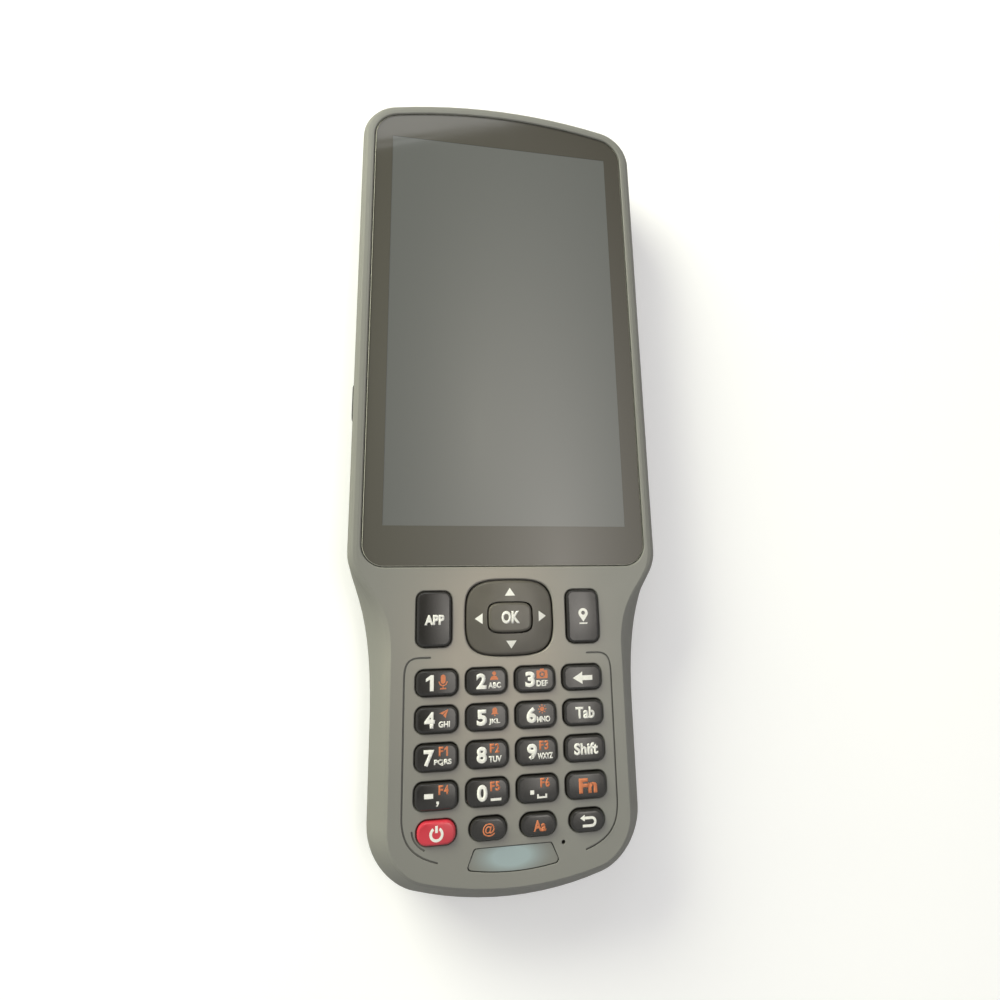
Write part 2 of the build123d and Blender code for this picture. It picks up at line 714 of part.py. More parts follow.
def midframe():
    """Metal plate behind the display, lightened by three windows."""
    plate_z = DISPLAY_BACK_Z - MIDFRAME[2] / 2
    frame = block(MIDFRAME, (0, DISPLAY_Y, plate_z))
    for step in (-1, 0, 1):
        frame -= block((40.0, 24.0, 3.0), (0, DISPLAY_Y + step * 36.0, plate_z))
    return frame


def keypad_mat():
    """Silicone sheet with a rim and one raised pad under each key."""
    height = KEYPAD_TOP_Y - MAT_BOTTOM_Y - 0.3
    y = MAT_BOTTOM_Y + height / 2
    plan = RectangleRounded(2 * KEYPAD_HALF_WIDTH - 0.6, height, 5.5)
    inner = RectangleRounded(2 * KEYPAD_HALF_WIDTH - 3.0, height - 2.4, 4.3)
    mat = plate(plan, MAT_SHEET[0] - 0.2, MAT_SHEET[1], y=y)
    mat -= plate(inner, MAT_SHEET[0] - 1, MAT_SHEET[0], y=y)
    for name, x, key_y, size in key_places():
        mat += plate(Rectangle(size[0] - 3.0, size[1] - 2.4), MAT_SHEET[1], MAT_PAD_TOP_Z, x, key_y)
    return mat + plate(Rectangle(7.0, 4.0), MAT_SHEET[1], MAT_PAD_TOP_Z, 0, NAV_Y)


def dome_contacts():
    """A snap dome on the board under every key and ring direction."""
    middle_z = KEYPAD_BOARD_Z + BOARD_THICKNESS + DOME_HEIGHT / 2
    places = [(x, y) for name, x, y, size in key_places()]
    places += [(0, NAV_Y), (9.0, NAV_Y), (-9.0, NAV_Y), (0, NAV_Y + 7.2), (0, NAV_Y - 7.2)]
    domes = [Pos(x, y, middle_z) * Cone(*DOME_RADII, DOME_HEIGHT) for x, y in places]
    return Compound(children=domes)


def keypad_board():
    """Board under the mat, notched around the two grip screws."""
    top_y = KEYPAD_TOP_Y - 0.4
    bottom_y = -103.4
    plan = RectangleRounded(56.0, top_y - bottom_y, 6.0)
    board = plate(plan, KEYPAD_BOARD_Z, KEYPAD_BOARD_Z + BOARD_THICKNESS,
                  y=(top_y + bottom_y) / 2)
    for side in (-1, 1):
        board -= rod(BOSS_RADIUS + 0.3, side * GRIP_SCREW[0], GRIP_SCREW[1], 12, 15)
    return board


def keypad_flex():
    """Ribbon and its two plugs between the keypad board and the main board."""
    ribbon = span_box((-6, 6), (-46, -12), (12.7, 12.9))
    keypad_plug = span_box((-7, 7), (-46, -42), (12.9, KEYPAD_BOARD_Z))
    main_plug = span_box((-7, 7), (-15, -11.5), (12.2, 12.7))
    return ribbon + keypad_plug + main_plug


def main_board():
    """Main board with two screw notches and its larger chips."""
    board = span_box((-31, 31), (-17, 92), (MAIN_BOARD_Z, MAIN_BOARD_Z + BOARD_THICKNESS))
    for y in (8.0, 74.0):
        board -= mirrored_pair(rod(1.6, 28.4, y, 10, 13))
    board += span_box((-26, -12), (-6, 6), (10.2, MAIN_BOARD_Z))
    return board + span_box((-6, 8), (40, 52), (10.1, MAIN_BOARD_Z))


def shield_can(width, height, x, y):
    """One drawn can with rounded top edges."""
    base_z = MAIN_BOARD_Z + BOARD_THICKNESS
    can = block((width, height, 1.8), (x, y, base_z + 0.9))
    return fillet(can.faces().sort_by(Axis.Z)[-1].edges(), 0.3)


def shield_cans():
    places = [(26, 30, -12, 24), (22, 24, 14, 62), (24, 18, -13, 58)]
    return Compound(children=[shield_can(*place) for place in places])


def display_flex():
    """Ribbon folded from behind the display down to the main board."""
    behind = span_box((14, 24), (-29.2, -24.9), (15.9, 16.1))
    drop = span_box((14, 24), (-29.4, -29.2), (12.7, 16.1))
    along = span_box((14, 24), (-29.4, -12), (12.7, 12.9))
    plug = span_box((13, 25), (-15, -11.5), (12.2, 12.7))
    return behind + drop + along + plug


def battery_pack():
    pack = block(BATTERY_SIZE, (0, DOOR_Y, BATTERY_Z + BATTERY_SIZE[2] / 2))
    return fillet(pack.edges().filter_by(Axis.Y), 1.2)


def battery_contacts():
    """Contact block in the bay's upper wall with three spring blades."""
    wall_y = DOOR_Y + BATTERY_SIZE[1] / 2
    holder = span_box((-7, 7), (wall_y + 0.8, wall_y + 3.4), (5.0, 9.0))
    for step in (-1, 0, 1):
        x = step * 4.0
        holder += span_box((x - 0.6, x + 0.6), (wall_y + 0.1, wall_y + 0.9), (5.8, 8.2))
    return holder


def speaker():
    """Speaker with its front rim against the grille."""
    x, y = SPEAKER_XY
    box = block((18.0, 14.0, 3.6), (x, y, 4.0))
    return box - block((13.0, 10.5, 1.0), (x, y, 2.4))


def microphone():
    x, y = MICROPHONE_XY
    body = block((3.4, 2.6, 1.1), (x, y - 0.2, KEYPAD_BOARD_Z + BOARD_THICKNESS + 0.55))
    return body - rod(0.4, x, y, 14.6, 16)


def vibration_motor():
    motor = rod(5.0, -24.0, 4.0, 2.0, 4.8)
    return motor + block((3.0, 6.0, 0.4), (-24.0, 10.0, 2.2))


def camera_module():
    x, y = CAMERA_XY
    body = block((12.0, 12.0, 4.4), (x, y, 5.6))
    barrel = rod(4.2, x, y, 1.5, 3.5) - rod(2.4, x, y, 1, 2.4)
    return body + barrel


def camera_window():
    window = rod(CAMERA_WINDOW_RADIUS, *CAMERA_XY, 0.2, 1.2)
    return chamfer(window.faces().sort_by(Axis.Z)[0].edges(), 0.2)


def flash_lens():
    lens = rod(FLASH_RADIUS, *FLASH_XY, 0.2, 2.0)
    return fillet(lens.faces().sort_by(Axis.Z)[0].edges(), 0.3)


def gnss_antenna():
    """Ceramic patch on its ground plate."""
    ground = block((20.0, 17.0, 0.6), (0, 103.0, 10.6))
    patch = block((16.0, 15.0, 3.4), (0, 103.0, 12.6))
    feed = rod(0.8, 2.0, 102.0, 14.3, 14.6)
    return ground + patch + feed


def wireless_antenna():
    """Film antenna along the right side wall."""
    x = HEAD_WIDTH / 2 - WALL - 0.6
    film = span_box((x, x + 0.25), (48, 92), (9.6, 14.6))
    return film - span_box((x - 1, x + 1), (56, 84), (11.4, 12.6))


def usb_connector():
    """Flat oval metal shell with its tongue."""
    width, height, depth = PORT_SIZE
    bottom_end = Plane(origin=(0, -106.0, FLAP_Z), x_dir=(1, 0, 0), z_dir=(0, -1, 0))
    shell = extrude(bottom_end * SlotOverall(width, height), depth)
    hollow = extrude(bottom_end * SlotOverall(width - 0.6, height - 0.6), depth + 1)
    hollow = Pos(0, -1.0, 0) * hollow
    tongue = span_box((-3.3, 3.3), (-112.2, -106.5), (FLAP_Z - 0.35, FLAP_Z + 0.35))
    return shell - hollow + tongue


def card_socket():
    """Metal card holder under the main board."""
    socket = span_box((12, 27), (2, 18), (9.7, MAIN_BOARD_Z))
    return socket - span_box((13, 26), (1, 16.5), (10.1, 10.9))


def housing_screws():
    """Eight cross-recessed screws, plain shanked."""
    screws = []
    for x, y in screw_places():
        screw = rod(SCREW_HEAD_RADIUS, x, y, *SCREW_HEAD)
        screw += rod(SCREW_RADIUS, x, y, SCREW_HEAD[1] - 0.1, SCREW_TIP_Z)
        screw -= block((2.4, 0.6, 1.2), (x, y, SCREW_HEAD[0]))
        screw -= block((0.6, 2.4, 1.2), (x, y, SCREW_HEAD[0]))
        screws.append(screw)
    return Compound(children=screws)


def side_switch():
    """Tact switch with its plunger facing the side button."""
    tip_x = BUTTON_INNER_X + BUTTON_TRAVEL + 0.1
    body = span_box((-39.0, -36.6), (BUTTON_Y - 3, BUTTON_Y + 3), (11.0, 14.0))
    return body + span_box((tip_x, -38.9), (BUTTON_Y - 1, BUTTON_Y + 1), (11.8, 13.2))


def housing_seal():
    """Gasket band lying in the rear half's rim."""
    outer = stacked_form([(SPLIT_Z - 1.0, 0.9, 0.9), (SPLIT_Z, 0.9, 0.9)])
    inner = stacked_form([(SPLIT_Z - 1.0, 1.8, 1.8), (SPLIT_Z, 1.8, 1.8)])
    return outer - inner


# ======================================================================================
# Export
# ======================================================================================

BUILDERS = {
    "front_housing": front_housing,
    "rear_housing": rear_housing,
    "housing_seal": housing_seal,
    "cover_glass": cover_glass,
    "glass_adhesive": glass_adhesive,
    "display_module": display_module,
    "midframe": midframe,
    "nameplate": nameplate,
    "keypad_mat": keypad_mat,
    "dome_contacts": dome_contacts,
    "keypad_board": keypad_board,
    "keypad_flex": keypad_flex,
    "main_board": main_board,
    "shield_cans": shield_cans,
    "display_flex": display_flex,
    "battery_pack": battery_pack,
    "battery_contacts": battery_contacts,
    "speaker": speaker,
    "microphone": microphone,
    "vibration_motor": vibration_motor,
    "camera_module": camera_module,
    "camera_window": camera_window,
    "flash_lens": flash_lens,
    "gnss_antenna": gnss_antenna,
    "wireless_antenna": wireless_antenna,
    "usb_connector": usb_connector,
    "card_socket": card_socket,
    "housing_screws": housing_screws,
    "side_switch": side_switch,
    "battery_door": battery_door,
    "door_seal": door_seal,
    "usb_flap": usb_flap,
    "side_button": side_button,
    "nav_gimbal": nav_gimbal,
    "nav_ring": nav_ring,
    "ok_key": ok_key,
}


def save(name, shape):
    export_step(shape, f"parts/{name}.step")


def main():
    os.makedirs("parts", exist_ok=True)
    for name, builder in BUILDERS.items():
        save(name, builder())
    save("door_screw_upper", door_screw(DOOR_SCREW_YS[0]))
    save("door_screw_lower", door_screw(DOOR_SCREW_YS[1]))
    for name, x, y, size in key_places():
        save(name, Pos(x, y, 0) * keycap(size))


main()
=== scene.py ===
import json
import math

import bmesh
import bpy
from mathutils import Matrix, Vector
from mathutils.bvhtree import BVHTree


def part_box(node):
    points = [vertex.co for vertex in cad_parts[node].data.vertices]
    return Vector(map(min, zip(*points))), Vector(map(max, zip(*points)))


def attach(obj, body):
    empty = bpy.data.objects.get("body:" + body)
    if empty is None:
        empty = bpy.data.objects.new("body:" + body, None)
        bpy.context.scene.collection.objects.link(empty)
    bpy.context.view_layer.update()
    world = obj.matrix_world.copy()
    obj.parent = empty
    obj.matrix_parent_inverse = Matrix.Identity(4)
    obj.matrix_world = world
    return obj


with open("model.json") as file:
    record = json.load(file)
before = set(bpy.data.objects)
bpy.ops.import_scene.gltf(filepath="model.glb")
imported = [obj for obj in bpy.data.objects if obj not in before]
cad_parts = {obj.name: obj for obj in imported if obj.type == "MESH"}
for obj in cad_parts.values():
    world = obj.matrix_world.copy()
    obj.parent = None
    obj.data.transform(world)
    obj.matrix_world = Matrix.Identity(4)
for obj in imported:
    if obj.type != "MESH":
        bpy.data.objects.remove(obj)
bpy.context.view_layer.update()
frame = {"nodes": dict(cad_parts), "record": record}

MM = 0.001
NODES = frame["nodes"]
FULL_TURN = 360

# ---- camera, in millimetres and degrees ------------------------------------------------
CAMERA_PLACE = (-28.55, -40.2, 173.88)
CAMERA_AIM = (-0.96, -7.82, 19.0)
CAMERA_ROLL = -0.9
CAMERA_LENS = 20.49
CAMERA_SENSOR = 36.0
CAMERA_SHIFT = (-0.0040, -0.0211)

# ---- printed legends, in millimetres -------------------------------------------------
PRINT_LIFT = 0.03                 # how proud the ink stands
PRINT_ROOT = 0.02                 # how far it reaches into the key
PRINT_STEP = 0.7                  # longest edge of a print that follows a domed key
PRINT_ROUNDS = 6                  # most times that an edge is halved to reach it
WHITE = "legend_white"
ORANGE = "legend_orange"
DIGIT = (2.65, 3.9)               # width and height of the large figures
FUNCTION_MARK = (1.15, 2.2)       # width and height of each mark of F1 to F6
LETTER_WEIGHT = 0.042             # how much the thin built-in face is thickened
DIGIT_WEIGHT = 0.048
FUNCTION_WEIGHT = 0.035
SAME_POINT = 1e-6                 # closer points count as one

# ---- painted sheen: patch of the face lightened where the overhead lamp's sheen falls, in metres ---
PAINTED_SHEEN_MIDDLE = (-0.003, -0.055, 0.019)
PAINTED_SHEEN_REACH = (0.040, 0.062, 0.010)

# ---- layers inside the glass, in millimetres above its underside ----------------------
# They lie just under its surface, where refraction would lift them to the eye.
BORDER_WINDOW = (1.5, 3.1)        # how far the window stands inside the display's edges
BORDER_HEIGHT = (0.70, 0.73)      # lower and upper face of the black print
BORDER_EDGE = 0.08                # clear margin outside the black print
SHEET_HEIGHT = (0.66, 0.68)       # the display's front sheet, under the print
SHEET_OVERLAP = 0.8               # how far the sheet runs under the border

# ---- studio, in metres ---------------------------------------------------------------
STUDIO_WHITE = 0.95               # strength of the white behind the device
STUDIO_GLOW = 0.42                # strength of that white as light and in reflections
FLOOR_HALF = 6.0
FLOOR_CLEARANCE = 0.0002          # keeps the device's back just off the floor
FLOOR_FADE = 1.6                  # where the floor has faded into the white
FLOOR_SEEN_GLOW = 0.14            # lightens the shadow that the camera sees
FLOOR_BOUNCE = (0.4, 0.4, 0.4)    # tone of the floor in bounced light
PANEL_MIDDLE = (0.29, 0.0, 1.0)
PANEL_HALF_SIZE = (0.48, 1.4)
PANEL_NEAR_EDGE = -0.40
PANEL_STRENGTH = 4.0
PANEL_COLOUR = (1.0, 0.95, 0.89)
WINDOW_Y = 0.75
WINDOW_STRENGTH = 2.6


# ======================================================================================
# Node helpers
# ======================================================================================

class Shader:
    """A small wrapper that adds and links the nodes of one material."""

    def __init__(self, name):
        self.material = bpy.data.materials.new(name)
        self.material.use_nodes = True
        self.tree = self.material.node_tree
        self.tree.nodes.clear()
        self.output = self.add("ShaderNodeOutputMaterial")
        self.coordinates = self.add("ShaderNodeTexCoord").outputs["Object"]

    def add(self, kind, **settings):
        node = self.tree.nodes.new(kind)
        for key, value in settings.items():
            setattr(node, key, value)
        return node

    def link(self, source, target):
        self.tree.links.new(source, target)

    def mapped(self, stretch=(1.0, 1.0, 1.0), middle=(0.0, 0.0, 0.0)):
        """Object coordinates measured from a middle point and then stretched."""
        shift = self.add("ShaderNodeVectorMath", operation="SUBTRACT")
        self.link(self.coordinates, shift.inputs[0])
        shift.inputs[1].default_value = middle
        mapping = self.add("ShaderNodeMapping")
        mapping.inputs["Scale"].default_value = stretch
        self.link(shift.outputs["Vector"], mapping.inputs["Vector"])
        return mapping.outputs["Vector"]

    def noise(self, scale, detail=4.0, stretch=(1.0, 1.0, 1.0)):
        """Noise in the device's own frame; scale counts features per metre."""
        texture = self.add("ShaderNodeTexNoise")
        texture.inputs["Scale"].default_value = scale
        texture.inputs["Detail"].default_value = detail
        self.link(self.mapped(stretch), texture.inputs["Vector"])
        return texture.outputs["Fac"]

    def glow(self, middle, reach):
        """One at a middle point, easing to nought at the reach along each axis."""
        gradient = self.add("ShaderNodeTexGradient", gradient_type="QUADRATIC_SPHERE")
        stretch = tuple(1.0 / length for length in reach)
        self.link(self.mapped(stretch, middle), gradient.inputs["Vector"])
        return gradient.outputs["Fac"]

    def spread(self, source, low, high, start=0.3, end=0.7):
        """Maps a texture's middle range onto low..high."""
        remap = self.add("ShaderNodeMapRange")
        remap.inputs["From Min"].default_value = start
        remap.inputs["From Max"].default_value = end
        remap.inputs["To Min"].default_value = low
        remap.inputs["To Max"].default_value = high
        self.link(source, remap.inputs["Value"])
        return remap.outputs["Result"]

    def mix_colours(self, factor, first, second):
        mix = self.add("ShaderNodeMix", data_type="RGBA")
        self.link(factor, mix.inputs["Factor"])
        for socket, value in ((mix.inputs[6], first), (mix.inputs[7], second)):
            if isinstance(value, tuple):
                socket.default_value = (*value, 1.0)
            else:
                self.link(value, socket)
        return mix.outputs[2]

    def bump(self, height, strength, distance, normal=None):
        bump = self.add("ShaderNodeBump")
        bump.inputs["Strength"].default_value = strength
        bump.inputs["Distance"].default_value = distance
        self.link(height, bump.inputs["Height"])
        if normal is not None:
            self.link(normal, bump.inputs["Normal"])
        return bump.outputs["Normal"]

    def soft_edges(self, radius):
        bevel = self.add("ShaderNodeBevel", samples=6)
        bevel.inputs["Radius"].default_value = radius
        return bevel.outputs["Normal"]

    def edge_mask(self, radius, low, high):
        """One on corners that hands and tables rub, nought on the flats."""
        geometry = self.add("ShaderNodeNewGeometry")
        dot = self.add("ShaderNodeVectorMath", operation="DOT_PRODUCT")
        self.link(self.soft_edges(radius), dot.inputs[0])
        self.link(geometry.outputs["Normal"], dot.inputs[1])
        return self.spread(dot.outputs["Value"], 1.0, 0.0, low, high)

    def crevice(self, distance):
        """Mask for painted shade: nought deep in gaps and grooves, one in the open."""
        occlusion = self.add("ShaderNodeAmbientOcclusion", samples=6)
        occlusion.inputs["Distance"].default_value = distance
        return self.spread(occlusion.outputs["AO"], 0.0, 1.0, 0.25, 0.85)

    def principled(self, **inputs):
        """A principled shader wired to the output; values or sockets by name."""
        shader = self.add("ShaderNodeBsdfPrincipled")
        for name, value in inputs.items():
            socket = shader.inputs[name.replace("_", " ")]
            if hasattr(value, "is_linked"):
                self.link(value, socket)
            elif isinstance(value, tuple) and len(value) == 3 and socket.type == "RGBA":
                socket.default_value = (*value, 1.0)
            else:
                socket.default_value = value
        self.link(shader.outputs["BSDF"], self.output.inputs["Surface"])
        return shader


def scaled(colour, factor):
    return tuple(channel * factor for channel in colour)


# ======================================================================================
# Materials
# ======================================================================================

def textured_plastic(name, colour, roughness, grain=0.5, painted_sheen_colour=None):
    """Moulded plastic with spark-eroded grain, blotches, rubbed edges and painted shade in its
    gaps.

    The optional colour gives a painted sheen: a paler, warmer patch around the keypad that
    stands in for the overhead lamp's sheen on the face.
    """
    s = Shader(name)
    blotch = s.noise(28.0, 3.0)
    base = s.mix_colours(s.spread(blotch, 0.0, 1.0), scaled(colour, 0.96), scaled(colour, 1.04))
    # painted sheen: the face turns paler and warmer towards the patch's middle, in place of the
    # lamp's sheen
    if painted_sheen_colour:
        patch = s.glow(PAINTED_SHEEN_MIDDLE, PAINTED_SHEEN_REACH)
        base = s.mix_colours(s.spread(patch, 0.0, 1.0, 0.0, 0.5), base, painted_sheen_colour)
    rubbed = s.edge_mask(0.0006, 0.90, 0.995)
    base = s.mix_colours(rubbed, base, scaled(colour, 1.06))
    # painted shade: the colour darkens to 0.35 of itself deep in gaps and grooves
    base = s.mix_colours(s.crevice(0.0009), scaled(colour, 0.35), base)
    normal = s.soft_edges(0.00025)
    normal = s.bump(s.noise(900.0, 2.0), 0.10 * grain, 0.0002, normal)
    normal = s.bump(s.noise(2600.0, 2.0), 0.22 * grain, 0.0001, normal)
    rough = s.spread(s.noise(60.0, 5.0), roughness - 0.04, roughness + 0.05)
    s.principled(Base_Color=base, Roughness=rough, Normal=normal, Specular_IOR_Level=0.75)
    return s.material


def gloss_plastic(name, colour, roughness=0.2, coat=0.25):
    """Smooth key plastic with faint smears and hairline scratches."""
    s = Shader(name)
    blotch = s.noise(150.0, 3.0)
    base = s.mix_colours(s.spread(blotch, 0.0, 1.0), scaled(colour, 0.9), scaled(colour, 1.1))
    smears = s.noise(320.0, 6.0, (1.0, 0.35, 1.0))
    rough = s.spread(smears, roughness - 0.03, roughness + 0.07)
    scratches = s.noise(1500.0, 2.0, (0.15, 1.0, 1.0))
    normal = s.bump(scratches, 0.05, 0.00003, s.soft_edges(0.0002))
    s.principled(Base_Color=base, Roughness=rough, Normal=normal, Specular_IOR_Level=0.8,
                 Coat_Weight=coat, Coat_Roughness=0.12)
    return s.material


def rubber(name, colour):
    """Matte rubber with a dusty bloom."""
    s = Shader(name)
    dust = s.noise(220.0, 6.0)
    base = s.mix_colours(s.spread(dust, 0.0, 1.0, 0.45, 0.75), colour, scaled(colour, 1.8))
    normal = s.bump(s.noise(3000.0, 2.0), 0.15, 0.0001, s.soft_edges(0.0002))
    s.principled(Base_Color=base, Roughness=s.spread(dust, 0.62, 0.82), Normal=normal)
    return s.material


def metal(name, colour, roughness=0.32):
    """Metal with directional brushing and slight tarnish."""
    s = Shader(name)
    tarnish = s.noise(180.0, 5.0)
    base = s.mix_colours(s.spread(tarnish, 0.0, 1.0), scaled(colour, 0.85), colour)
    lines = s.noise(4000.0, 2.0, (1.0, 0.06, 1.0))
    normal = s.bump(lines, 0.12, 0.00005, s.soft_edges(0.00015))
    rough = s.spread(lines, roughness - 0.06, roughness + 0.08)
    s.principled(Base_Color=base, Metallic=1.0, Roughness=rough, Normal=normal)
    return s.material


def circuit_board(name):
    """Solder mask with the faint relief of tracks beneath it."""
    s = Shader(name)
    tracks = s.add("ShaderNodeTexBrick")
    tracks.inputs["Scale"].default_value = 420.0
    s.link(s.coordinates, tracks.inputs["Vector"])
    mask = s.spread(tracks.outputs["Fac"], 0.0, 1.0, 0.2, 0.8)
    base = s.mix_colours(mask, (0.012, 0.075, 0.035), (0.03, 0.14, 0.06))
    normal = s.bump(tracks.outputs["Fac"], 0.2, 0.00005)
    s.principled(Base_Color=base, Roughness=s.spread(s.noise(300.0), 0.25, 0.4), Normal=normal)
    return s.material


def clear_glass(name):
    """Thin clear glass whose ground edge catches the light.

    The layers inside it carry the gloss of its flat face.
    """
    s = Shader(name)
    clear = s.add("ShaderNodeBsdfTransparent")
    ground = s.add("ShaderNodeBsdfDiffuse")
    pale = s.mix_colours(s.spread(s.noise(900.0, 3.0), 0.0, 1.0), (0.50, 0.50, 0.43),
                         (0.66, 0.66, 0.57))
    s.link(pale, ground.inputs["Color"])
    split = s.add("ShaderNodeSeparateXYZ")
    s.link(s.add("ShaderNodeNewGeometry").outputs["Normal"], split.inputs["Vector"])
    level = s.add("ShaderNodeMath", operation="ABSOLUTE")
    s.link(split.outputs["Z"], level.inputs[0])
    mix = s.add("ShaderNodeMixShader")
    s.link(s.spread(level.outputs["Value"], 0.6, 0.0, 0.9, 0.99), mix.inputs["Fac"])
    s.link(clear.outputs["BSDF"], mix.inputs[1])
    s.link(ground.outputs["BSDF"], mix.inputs[2])
    s.link(mix.outputs["Shader"], s.output.inputs["Surface"])
    return s.material


def under_glass(name, dark, light, middle, reach):
    """A layer inside the glass: its tone lifts at middle as a painted reflection, with finger
    smears above.
    """
    s = Shader(name)
    # painted reflection: the paler tone towards middle stands in for the lamps' reflection in
    # the glass
    lift = s.glow(middle, reach)
    base = s.mix_colours(s.spread(lift, 0.0, 1.0, 0.0, 1.0), dark, light)
    smears = s.noise(26.0, 7.0, (1.0, 0.5, 1.0))
    s.principled(Base_Color=base, Roughness=s.spread(smears, 0.03, 0.10, 0.45, 0.8))
    return s.material


def display_panel(name, dark, light):
    """Switched-off display: dark grey, with a painted reflection that lifts it gently towards
    its middle.
    """
    low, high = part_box("display_module")
    middle = ((low.x + high.x) / 2 - 0.008, low.y + 0.03, high.z)
    return under_glass(name, dark, light, middle, (0.050, 0.15, 1.0))


def printed_border(name, dark, light):
    """Black print under the glass, with a painted reflection that makes it warmer and paler
    towards its lower left.
    """
    low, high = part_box("cover_glass")
    middle = (low.x + 0.01, low.y + 0.05, high.z)
    return under_glass(name, dark, light, middle, (0.075, 0.25, 1.0))


def blank_plate(name, colour, pale):
    """Thin brushed foil, worn pale in the middle where a mark would sit."""
    s = Shader(name)
    low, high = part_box("nameplate")
    middle = ((low.x + high.x) / 2 - 0.0006, high.y - 0.0022, high.z)
    patch = s.spread(s.glow(middle, (0.0125, 0.0058, 1.0)), 0.0, 1.0, 0.0, 0.4)
    lines = s.noise(2500.0, 3.0, (0.05, 1.0, 1.0))
    base = s.mix_colours(patch, colour, pale)
    normal = s.bump(lines, 0.08, 0.00004, s.soft_edges(0.0002))
    s.principled(Base_Color=base, Roughness=s.spread(lines, 0.38, 0.48), Normal=normal)
    return s.material


def ink(name, colour):
    """Printed legend ink: slightly uneven and a touch rougher than the key."""
    s = Shader(name)
    patchy = s.noise(2500.0, 4.0)
    base = s.mix_colours(s.spread(patchy, 0.0, 1.0), scaled(colour, 0.88), colour)
    normal = s.bump(patchy, 0.1, 0.00002)
    s.principled(Base_Color=base, Roughness=s.spread(patchy, 0.35, 0.5), Normal=normal)
    return s.material


def make_materials():
    housing = (0.208, 0.210, 0.192)
    return {
        "housing_front": textured_plastic("housing_front", housing, 0.40,
                                          painted_sheen_colour=(0.320, 0.292, 0.254)),
        "housing_rear": textured_plastic("housing_rear", scaled(housing, 0.9), 0.5, 1.2),
        "rubber": rubber("rubber", (0.035, 0.035, 0.034)),
        "foam_tape": rubber("foam_tape", (0.02, 0.02, 0.02)),
        "silicone": rubber("silicone", (0.05, 0.05, 0.048)),
        "key_gloss": gloss_plastic("key_gloss", (0.014, 0.013, 0.011)),
        "ring_gloss": gloss_plastic("ring_gloss", (0.095, 0.088, 0.072), 0.36, 0.08),
        "key_red": gloss_plastic("key_red", (0.55, 0.03, 0.05)),
        "button_plastic": textured_plastic("button_plastic", (0.05, 0.05, 0.048), 0.4),
        "dark_plastic": textured_plastic("dark_plastic", (0.03, 0.03, 0.03), 0.5),
        "plate": blank_plate("plate", scaled(housing, 0.95), (0.32, 0.40, 0.42)),
        "ceramic": textured_plastic("ceramic", (0.6, 0.56, 0.5), 0.6),
        "flex_film": textured_plastic("flex_film", (0.4, 0.18, 0.04), 0.3, 0.2),
        "cover_glass": clear_glass("cover_glass"),
        "lens_glass": gloss_plastic("lens_glass", (0.02, 0.02, 0.025), 0.06),
        # the second colour of display and bezel_print is the tone of their painted reflection
        "display": display_panel("display", (0.128, 0.134, 0.133), (0.172, 0.176, 0.172)),
        "bezel_print": printed_border("bezel_print", (0.074, 0.070, 0.060),
                                      (0.108, 0.105, 0.091)),
        "board": circuit_board("board"),
        "light_alloy": metal("light_alloy", (0.6, 0.6, 0.61), 0.45),
        "dome_steel": metal("dome_steel", (0.7, 0.7, 0.68), 0.2),
        "tinned_steel": metal("tinned_steel", (0.62, 0.62, 0.6)),
        "battery_can": metal("battery_can", (0.10, 0.105, 0.12), 0.4),
        "contact_brass": metal("contact_brass", (0.8, 0.6, 0.25), 0.25),
        "screw_steel": metal("screw_steel", (0.12, 0.12, 0.125), 0.35),
        WHITE: ink(WHITE, (0.86, 0.86, 0.82)),
        ORANGE: ink(ORANGE, (0.62, 0.20, 0.085)),
    }


def dress_cad_nodes(materials):
    """Gives every carried-over CAD node the procedural material of its slot."""
    for entry in frame["record"]["subparts"]:
        node = NODES[entry["node"]]
        node.data.materials.clear()
        node.data.materials.append(materials[entry["material_slot"]])


# ======================================================================================
# Outlines of the printed signs, in millimetres around their own middle.
# A sign is a list of shapes; a shape is its outer loop followed by its holes.
# ======================================================================================

def arc(x, y, radius, start, end, count=20):
    """Points along an arc, with its angles in degrees."""
    points = []
    for step in range(count + 1):
        angle = math.radians(start + (end - start) * step / count)
        points.append((x + radius * math.cos(angle), y + radius * math.sin(angle)))
    return points


def disc(x, y, radius, count=24):
    return arc(x, y, radius, 0, FULL_TURN * (count - 1) / count, count - 1)


def bar(left, bottom, right, top):
    return [(left, bottom), (right, bottom), (right, top), (left, top)]


def thick_arc(x, y, outer, inner, start, end):
    return arc(x, y, outer, start, end) + arc(x, y, inner, end, start)


def turned(points, degrees):
    cosine, sine = math.cos(math.radians(degrees)), math.sin(math.radians(degrees))
    return [(x * cosine - y * sine, x * sine + y * cosine) for x, y in points]


def triangle_sign(degrees):
    """Solid direction mark, pointing up before it is turned."""
    return [[turned([(-1.4, -1.0), (1.4, -1.0), (0.0, 1.05)], degrees)]]


def one_sign():
    """The digit one with a flag, in a box of unit width and height."""
    return [[[(0.5, -0.5), (0.5, 0.5), (0.14, 0.5), (-0.5, 0.28), (-0.5, 0.08),
              (0.02, 0.22), (0.02, -0.5)]]]


def microphone_sign():
    capsule = arc(0, 1.15, 0.62, 0, 180) + arc(0, 0.15, 0.62, 180, FULL_TURN)
    cradle = thick_arc(0, 0.1, 1.15, 0.85, 180, FULL_TURN)
    return [[capsule], [cradle], [bar(-0.16, -1.45, 0.16, -1.12)], [bar(-0.8, -1.8, 0.8, -1.5)]]


def person_sign():
    return [[disc(0, 0.55, 0.5)], [arc(0, -1.05, 1.05, 0, 180)]]


def camera_sign():
    body = bar(-1.5, -1.15, 1.5, 0.85)
    hump = bar(-0.55, 0.9, 0.55, 1.25)
    return [[body, disc(0, -0.15, 0.75)], [disc(0, -0.15, 0.42)], [hump]]


